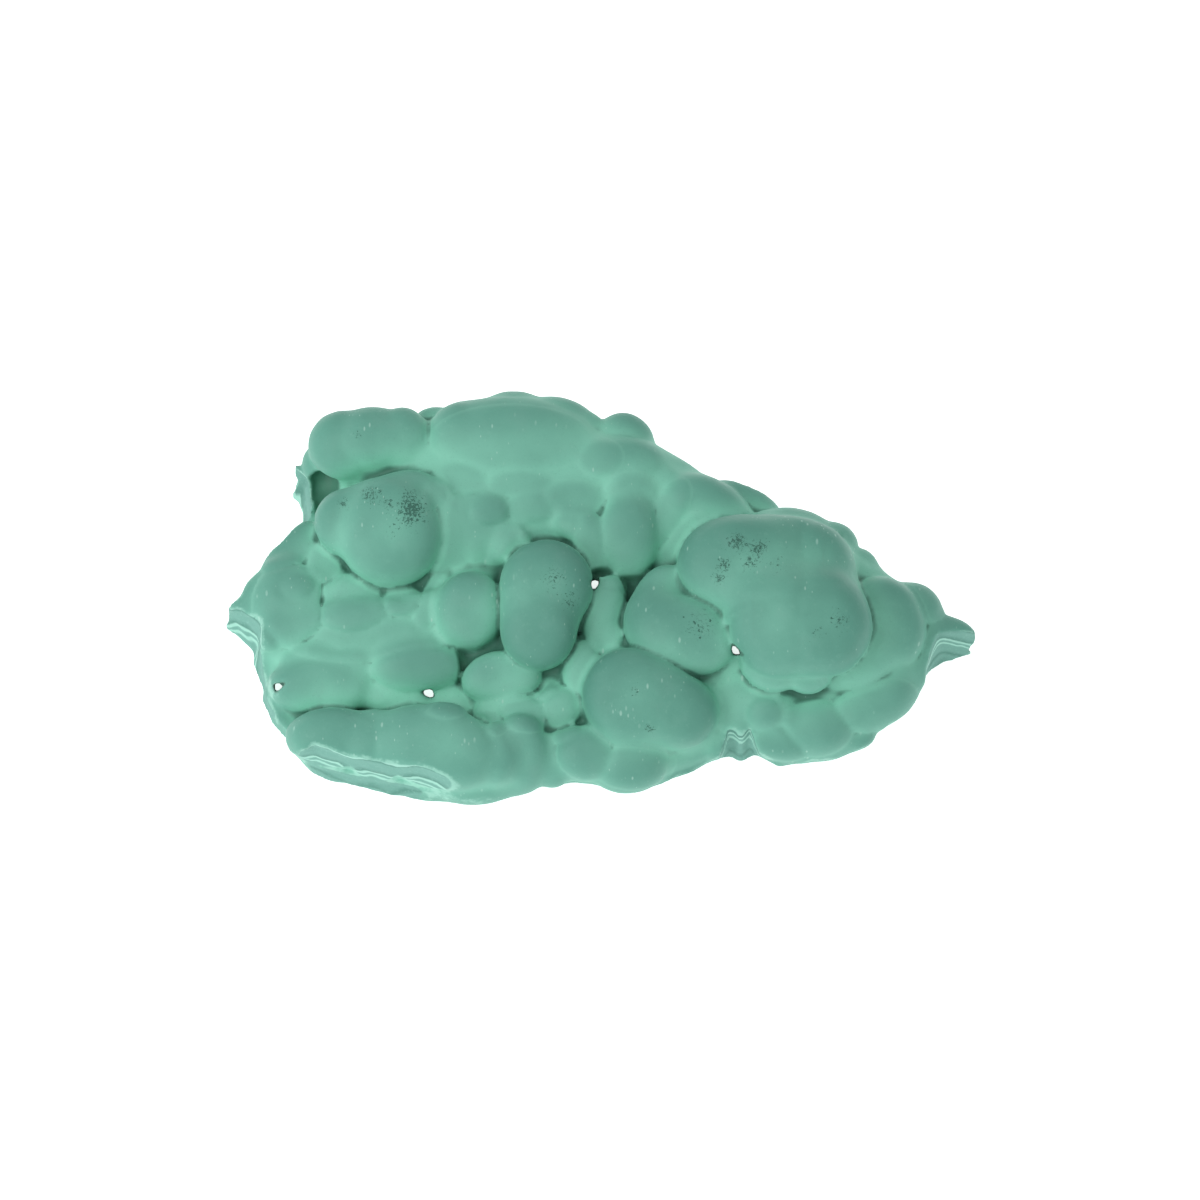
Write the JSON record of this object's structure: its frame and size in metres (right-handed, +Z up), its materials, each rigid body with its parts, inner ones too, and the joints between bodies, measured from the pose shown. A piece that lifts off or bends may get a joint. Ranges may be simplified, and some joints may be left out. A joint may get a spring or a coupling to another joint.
{
  "type": "malachite specimen",
  "caption": "Hand-sized plate of botryoidal malachite: crowded rounded lumps on top, a banded broken rim and a flat underside to lie on.",
  "frame": {"origin": "on the resting plane, under the middle of the specimen's length and width", "axes": "+X along the length towards the pointed end by the tallest dome, +Y away from the viewer towards the back ridge, +Z up"},
  "size_m": [0.1252, 0.072, 0.0259],
  "materials": {
    "malachite": "satin natural mineral skin, banded and matt where it is broken"
  },
  "bodies": {
    "root": {"malachite": "malachite"}
  },
  "joints": []
}
